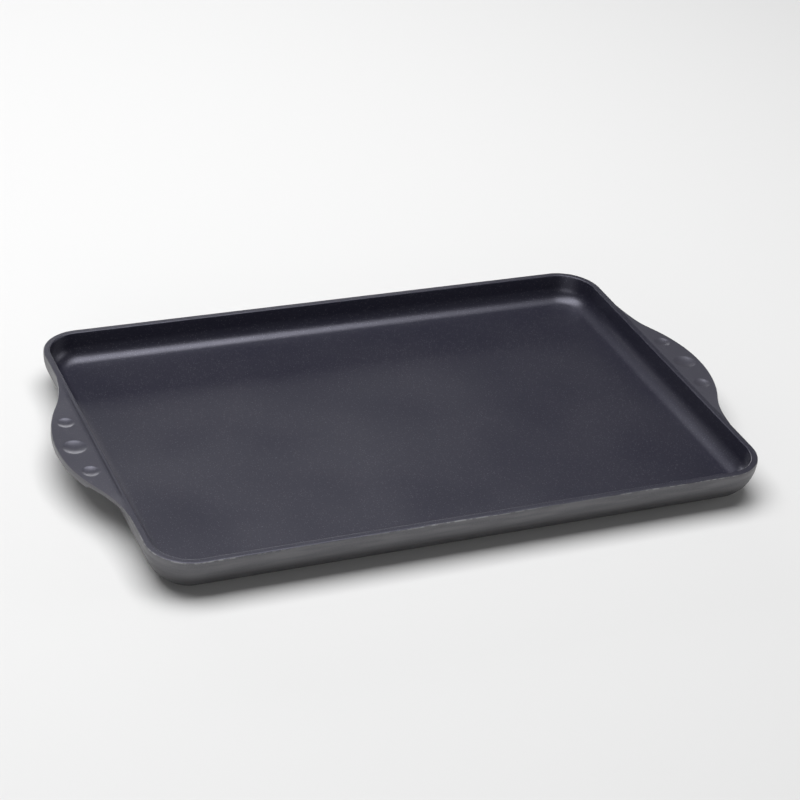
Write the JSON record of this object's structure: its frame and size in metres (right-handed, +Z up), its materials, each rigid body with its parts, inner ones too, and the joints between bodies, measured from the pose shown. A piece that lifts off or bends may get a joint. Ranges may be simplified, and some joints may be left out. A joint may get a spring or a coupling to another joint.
{
  "type": "griddle plate",
  "caption": "Cast aluminium double-burner griddle plate: shallow flat tray with a raised rim and a dimpled handle at each end.",
  "frame": {"origin": "centre of the flat face that it rests on", "axes": "+X towards one handle, along the long side; +Y along the short side; +Z up, the way the cooking floor faces"},
  "size_m": [0.4758, 0.286, 0.028],
  "materials": {
    "bare_aluminium": "satin, ground base",
    "nonstick_coat": "satin, fine speckle",
    "exterior_coat": "satin"
  },
  "bodies": {
    "root": {"cast_body": "bare_aluminium", "nonstick_coating": "nonstick_coat", "exterior_coating": "exterior_coat"}
  },
  "joints": []
}
